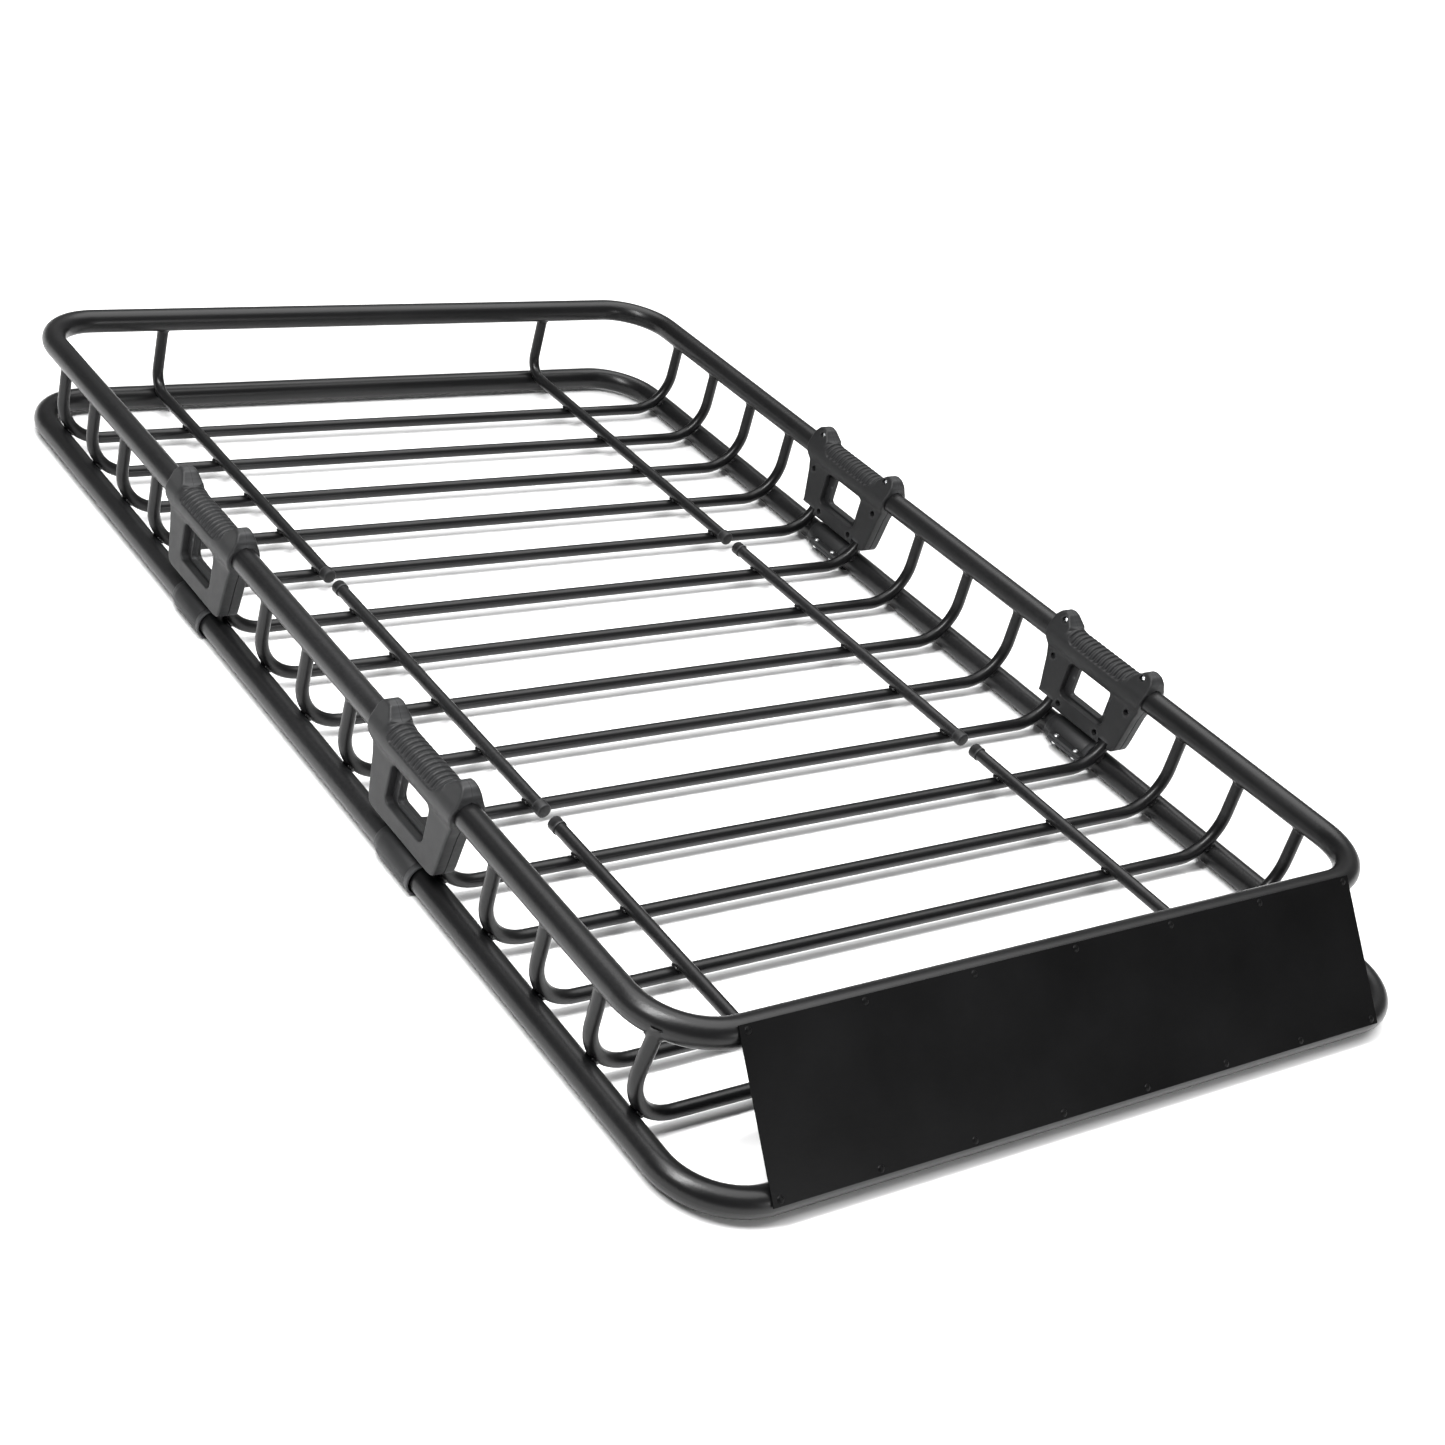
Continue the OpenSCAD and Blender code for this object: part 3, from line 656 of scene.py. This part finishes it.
def side_mesh(loops, free):
    """Points and triangles of the side view, with the loops kept as edges."""
    verts, edges = [], []
    for loop in loops:
        at, n = len(verts), len(loop)
        verts.extend(Vector(p) for p in loop)
        edges.extend((at + i, at + (i + 1) % n) for i in range(n))
    verts.extend(Vector(p) for p in free)
    flat, _, tris, *_ = delaunay_2d_cdt(verts, edges, [], 0, 1e-4)
    return np.array([tuple(v) for v in flat]), np.array([t for t in tris if len(t) == 3])


def cut_mesh(flat, tris, outer, eye, inner):
    """The mesh inside the outline, without the eye and without the inner half's notches."""
    mids = flat[tris].mean(1)
    keep = inside(mids, outer) & ~inside(mids, eye)
    if inner:
        keep &= ~(in_slots(mids[:, 0]) & (mids[:, 1] < NOTCH_Z))
    tris = tris[keep]
    used = np.unique(tris)
    index = np.full(len(flat), -1)
    index[used] = np.arange(len(used))
    return flat[used], index[tris]


def closed_shell(flat, tris, top, back):
    """Solid between two height fields on the side view's mesh, walled along the mesh's open edges."""
    n = len(flat)
    points = [(t * MM, s * MM, z * MM) for t, (s, z) in zip(top, flat)]
    points += [(b * MM, s * MM, z * MM) for b, (s, z) in zip(back, flat)]
    a, b = flat[tris[:, 1]] - flat[tris[:, 0]], flat[tris[:, 2]] - flat[tris[:, 0]]
    clockwise = a[:, 0] * b[:, 1] - a[:, 1] * b[:, 0] < 0
    tris[clockwise] = tris[clockwise][:, ::-1]
    faces = [tuple(t) for t in tris] + [tuple(n + t[::-1]) for t in tris]
    open_edges = {}
    for t in tris:
        for i in range(3):
            start, end = t[i], t[(i + 1) % 3]
            if (end, start) in open_edges:
                del open_edges[(end, start)]
            else:
                open_edges[(start, end)] = True
    faces += [(j, i, n + i, n + j) for i, j in open_edges]
    return points, faces


def handle_half(inner):
    """Vertices and faces of one half, outward side at +X, side view in Y and Z."""
    outer = turned(grip_outline(), 1)
    window, eye = (turned(fillet([(-w, low, r), (w, low, r), (w, high, r), (-w, high, r)]), -1)
                   for w, low, high, r in (WINDOW, EYE))
    screws = SCREWS + [BLIND] if inner else []
    seats = [circle(s, z, r) for s, z, _, _ in screws for r in (SEAT_R, SEAT_R + SEAT_WALL)]
    flat, tris = side_mesh([outer, window, eye, *seats], mesh_points(outer, window, eye, screws))
    flat, tris = cut_mesh(flat, tris, outer, eye, inner)
    back = handle_backs(flat, outer, inner)
    back = np.where(flat[:, 1] < NOTCH_Z + 1, np.minimum(back, LEG_T - 0.6), back)
    top = np.maximum(handle_faces(flat, outer, window, eye, screws), back + MIN_WALL)
    return closed_shell(flat, tris, top, back)


def screw(build, at, direction, head_r, head_h, shaft_r, shaft_l):
    """Pan-head screw with a hexagon socket. at is the underside of the head, direction points out of it."""
    m = toward(direction, at)
    n = 36

    def ring(r, h):
        return [(r * math.cos(2 * math.pi * i / n), r * math.sin(2 * math.pi * i / n), h) for i in range(n)]

    def hexagon(r, h):
        out = []
        for i in range(n):
            a = 2 * math.pi * i / n
            near = (a + math.pi / 6) % (math.pi / 3) - math.pi / 6
            out.append((r * math.cos(a) / math.cos(near), r * math.sin(a) / math.cos(near), h))
        return out

    socket = head_r * 0.46
    rows = [ring(shaft_r, -shaft_l), ring(shaft_r, 0), ring(head_r * 0.97, 0), ring(head_r, head_h * 0.15),
            ring(head_r, head_h * 0.45), ring(head_r * 0.9, head_h * 0.8), ring(head_r * 0.72, head_h),
            hexagon(socket * 1.06, head_h), hexagon(socket, head_h * 0.93), hexagon(socket, head_h * 0.35)]
    points = [p for row in rows for p in row]
    faces = ring_faces(len(rows), n)
    points += [(0, 0, -shaft_l), (0, 0, head_h * 0.3)]
    low, high, last = len(points) - 2, len(points) - 1, (len(rows) - 1) * n
    faces += [(low, (i + 1) % n, i) for i in range(n)]
    faces += [(high, last + i, last + (i + 1) % n) for i in range(n)]
    build.add(placed(points, m), faces)


HALVES = {"outer": handle_half(False), "inner": handle_half(True)}
JOINTS = [(end, sy, side, sx) for end, sy in (("rear", 1), ("front", -1))
          for side, sx in (("left", -1), ("right", 1))]
# head radius, head height and shank radius of the screws
HANDLE_SCREW = (3.4 * MM, 2.4 * MM, 1.9 * MM)
COUPLER_SCREW = (3.6 * MM, 2.0 * MM, 1.98 * MM)
# added to a shank's length, so that it ends inside the outer half or inside the nut
SHANK_PAST = 2.0

for end, sy, side, sx in JOINTS:
    name = f"{end}_{side}_handle"
    place = Vector((sx * RAIL_X, sy * JOINT_Y, UPPER_Z))
    for half, (points, faces) in HALVES.items():
        flip = sx * (1 if half == "outer" else -1)
        build = Build()
        moved = [(place.x + flip * x, place.y + y, place.z + z) for x, y, z in points]
        build.add(moved, faces if flip > 0 else [f[::-1] for f in faces])
        build.object(f"{name}_{half}_shell", "handle_plastic", BODY_OF[f"{name}_{half}"], smooth=32,
                     replaces=[f"{name}_{half}"])
    build = Build()
    for s, z, deep, face in SCREWS:
        at = place + Vector((-sx * (face - deep + 0.1) * MM, s * MM, z * MM))
        screw(build, at, (-sx, 0, 0), *HANDLE_SCREW, (face + SHANK_PAST) * MM)
    build.object(f"{name}_screw_set", "screw_steel", BODY_OF[f"{name}_screws"], smooth=35,
                 replaces=[f"{name}_screws"])

# ---------------------------------------------------------------- couplers

# a sleeve's outside and inside as (radius, place along the rail), in millimetres
OUTER_PROFILE = [(17.1, -38.0), (18.3, -37.9), (19.0, -37.3), (19.0, -31.5), (18.75, -31.0), (18.75, -30.4),
                 (19.0, -29.9), (19.0, 26.5), (18.8, 28.5), (18.2, 31.0), (17.3, 34.5), (16.9, 37.0),
                 (16.5, 37.8), (16.0, 38.0)]
INNER_PROFILE = [(15.3, 37.6), (15.3, -31.6), (15.6, -32.0), (16.9, -32.0), (16.9, -37.8)]
# the ear: its middle along the rail, its length, one half's thickness, and how far its outer and inner
# edges lie from the rail's axis
EAR_S, EAR_L, EAR_T, EAR_OUT, EAR_IN = -8.0, 58.0, 4.0, 27.5, 17.6
EAR_CORNER_R, EAR_EDGE_R = 2.2, 0.9
EAR_SCREW_X, EAR_SCREW_S = 23.0, 18.0
NUT_PROFILE = [(2.1, -2.4), (3.0, -2.4), (3.4, -2.0), (3.4, -0.3), (3.1, 0), (2.1, 0), (2.1, -2.4)]


def rounded_box(lo, hi, corner_r, edge_r, steps=3):
    """Box with upright corners of corner_r and its top and bottom edges rounded by edge_r."""
    cx, cy = (lo[0] + hi[0]) / 2, (lo[1] + hi[1]) / 2
    hx, hy = (hi[0] - lo[0]) / 2, (hi[1] - lo[1]) / 2
    arc = [math.pi / 2 * k / steps for k in range(steps + 1)]
    levels = [(lo[2] + edge_r - edge_r * math.cos(a), edge_r - edge_r * math.sin(a)) for a in arc]
    levels += [(hi[2] - edge_r + edge_r * math.sin(a), edge_r - edge_r * math.cos(a)) for a in arc]
    points = []
    for z, shrink in levels:
        r = corner_r - shrink
        for quarter, (sx, sy) in enumerate(((1, 1), (-1, 1), (-1, -1), (1, -1))):
            mid_x, mid_y = cx + sx * (hx - corner_r), cy + sy * (hy - corner_r)
            turns = [math.pi / 2 * (quarter + j / steps) for j in range(steps + 1)]
            points += [(mid_x + r * math.cos(b), mid_y + r * math.sin(b), z) for b in turns]
    n = 4 * (steps + 1)
    faces = ring_faces(len(levels), n)
    faces.append(tuple(range(n))[::-1])
    faces.append(tuple((len(levels) - 1) * n + i for i in range(n)))
    return points, faces


def coupler_half(up):
    """Half sleeve with its ear, in millimetres, ear towards -X, upper half for up = 1."""
    profile = OUTER_PROFILE + INNER_PROFILE
    steps = 36
    build = Build()
    points = []
    for k in range(steps + 1):
        a = math.pi * k / steps
        for r, y in profile:
            lift = SPLIT * (1 - math.sin(a))
            points.append((r * math.cos(a), y, up * (max(r * math.sin(a), 0) + lift)))
    m = len(profile)
    faces = []
    for k in range(steps):
        for i in range(m):
            j = (i + 1) % m
            quad = (k * m + i, k * m + j, (k + 1) * m + j, (k + 1) * m + i)
            faces.append(quad if up > 0 else quad[::-1])
    ends = (tuple(range(m))[::-1], tuple(steps * m + i for i in range(m)))
    faces += ends if up > 0 else [e[::-1] for e in ends]
    build.add(points, faces)
    z = (SPLIT, EAR_T) if up > 0 else (-EAR_T, -SPLIT)
    low, high = (-EAR_OUT, EAR_S - EAR_L / 2, z[0]), (-EAR_IN, EAR_S + EAR_L / 2, z[1])
    build.add(*rounded_box(low, high, EAR_CORNER_R, EAR_EDGE_R))
    return build


for end, sy, side, sx in JOINTS:
    name = f"{end}_{side}_coupler"
    place = Vector((sx * RAIL_X, sy * JOINT_Y, LOWER_Z))
    for half, up in (("upper", 1), ("lower", -1)):
        made = coupler_half(up)
        build = Build()
        moved = [(place.x + sx * x * MM, place.y + y * MM, place.z + z * MM) for x, y, z in made.verts]
        build.add(moved, made.faces if sx > 0 else [f[::-1] for f in made.faces])
        build.object(f"{name}_{half}_shell", "handle_plastic", BODY_OF[f"{name}_{half}"], smooth=32,
                     replaces=[f"{name}_{half}"])
    build = Build()
    for k in (-1, 1):
        at = place + Vector((-sx * EAR_SCREW_X, EAR_S + k * EAR_SCREW_S, EAR_T)) * MM
        screw(build, at, (0, 0, 1), *COUPLER_SCREW, (2 * EAR_T + SHANK_PAST) * MM)
        pts, fcs = lathe([(r * MM, h * MM) for r, h in NUT_PROFILE], 6)
        build.add(placed(pts, Matrix.Translation(at - Vector((0, 0, 2 * EAR_T * MM)))), fcs)
    build.object(f"{name}_screw_set", "screw_steel", BODY_OF[f"{name}_screws"], smooth=35,
                 replaces=[f"{name}_screws"])

# ---------------------------------------------------------------- rod end caps


def cap_set(node, ends):
    """Push-on caps with a rolled lip. ends lists (closed end's y, way the cup opens)."""
    r = ROD_R / MM
    profile = [(0, 0.25), (r - 1.5, 0.12), (r - 0.2, 0.35), (r + 0.8, 1.0), (r + 1.15, 2.0), (r + 1.15, 10.2),
               (r + 1.3, 10.7), (r + 1.3, 12.5), (r + 1.0, 13.0), (r + 0.03, 13.0), (r + 0.03, 2.0), (0, 2.0)]
    build = Build()
    for y, way in ends:
        for side in (-1, 1):
            pts, fcs = lathe([(a * MM, h * MM) for a, h in profile], 28)
            build.add(placed(pts, toward((0, way, 0), (side * ROD_X, y, ROD_Z))), fcs)
    build.object(f"{node}_moulded", "cap_plastic", BODY_OF[node], smooth=35, replaces=[node])


rear_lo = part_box("rear_rod_caps")[0].y
middle_lo, middle_hi = (v.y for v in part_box("middle_rod_caps"))
front_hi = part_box("front_rod_caps")[1].y
cap_set("rear_rod_caps", [(rear_lo, 1)])
cap_set("middle_rod_caps", [(middle_hi, -1), (middle_lo, 1)])
cap_set("front_rod_caps", [(front_hi, -1)])

# ---------------------------------------------------------------- camera, light and floor


def area_light(name, at, aim, size, power, size_y=None):
    """Rectangular lamp at a place, turned to face aim."""
    data = bpy.data.lights.new(name, "AREA")
    data.shape = "RECTANGLE"
    data.size, data.size_y = size, size_y or size
    data.energy = power
    obj = bpy.data.objects.new(name, data)
    bpy.context.scene.collection.objects.link(obj)
    obj.location = at
    obj.rotation_euler = (Vector(aim) - Vector(at)).to_track_quat("-Z", "Y").to_euler()


FLOOR_SPAN, FLOOR_DROP = 30.0, 0.0004
corners = [(x * FLOOR_SPAN, y * FLOOR_SPAN, 0) for x, y in ((-1, -1), (1, -1), (1, 1), (-1, 1))]
floor_mesh = bpy.data.meshes.new("floor")
floor_mesh.from_pydata(corners, [], [(0, 1, 2, 3)])
floor = bpy.data.objects.new("floor", floor_mesh)
bpy.context.scene.collection.objects.link(floor)
pale = Graph("pale_floor")
tone = pale.ramp(pale.noise(3.0, 2.0), [(0.3, (0.86, 0.86, 0.86)), (0.7, (0.9, 0.9, 0.9))])
pale.link(tone, pale.shader.inputs["Base Color"])
pale.shader.inputs["Roughness"].default_value = 0.9
floor_mesh.materials.append(pale.mat)
floor.location.z = CAD_LO.z - FLOOR_DROP

world = bpy.data.worlds.new("studio")
bpy.context.scene.world = world
world.use_nodes = True
background = world.node_tree.nodes["Background"]
background.inputs["Color"].default_value = (1, 1, 1, 1)
background.inputs["Strength"].default_value = 0.25

# one very wide soft source overhead, which lights the whole floor alike
overhead = bpy.data.lights.new("overhead", "SUN")
overhead.energy = 4.0
overhead.angle = math.radians(65)
overhead_obj = bpy.data.objects.new("overhead", overhead)
bpy.context.scene.collection.objects.link(overhead_obj)
overhead_obj.rotation_euler = Vector((-0.22, -0.16, -1)).to_track_quat("-Z", "Y").to_euler()

area_light("key", (-1.3, -0.5, 2.2), (-0.1, -0.1, 0), 0.22, 110, 1.8)
area_light("front_fill", (0.95, -2.9, 0.7), (-0.4, -0.75, 0.1), 0.7, 22)

camera = bpy.data.cameras.new("camera")
camera_obj = bpy.data.objects.new("camera", camera)
bpy.context.scene.collection.objects.link(camera_obj)
camera.sensor_width = 36.0
camera_obj.rotation_mode = "XYZ"
camera_obj.location = (-1.5877, -1.8179, 1.3363)
camera.lens = 56.80
camera_obj.rotation_euler = [math.radians(a) for a in (58.5785, -12.7963, -33.1236)]
camera.shift_x, camera.shift_y = 0.0688, 0.0180
bpy.context.scene.camera = camera_obj
bpy.context.scene.view_settings.view_transform = "Standard"
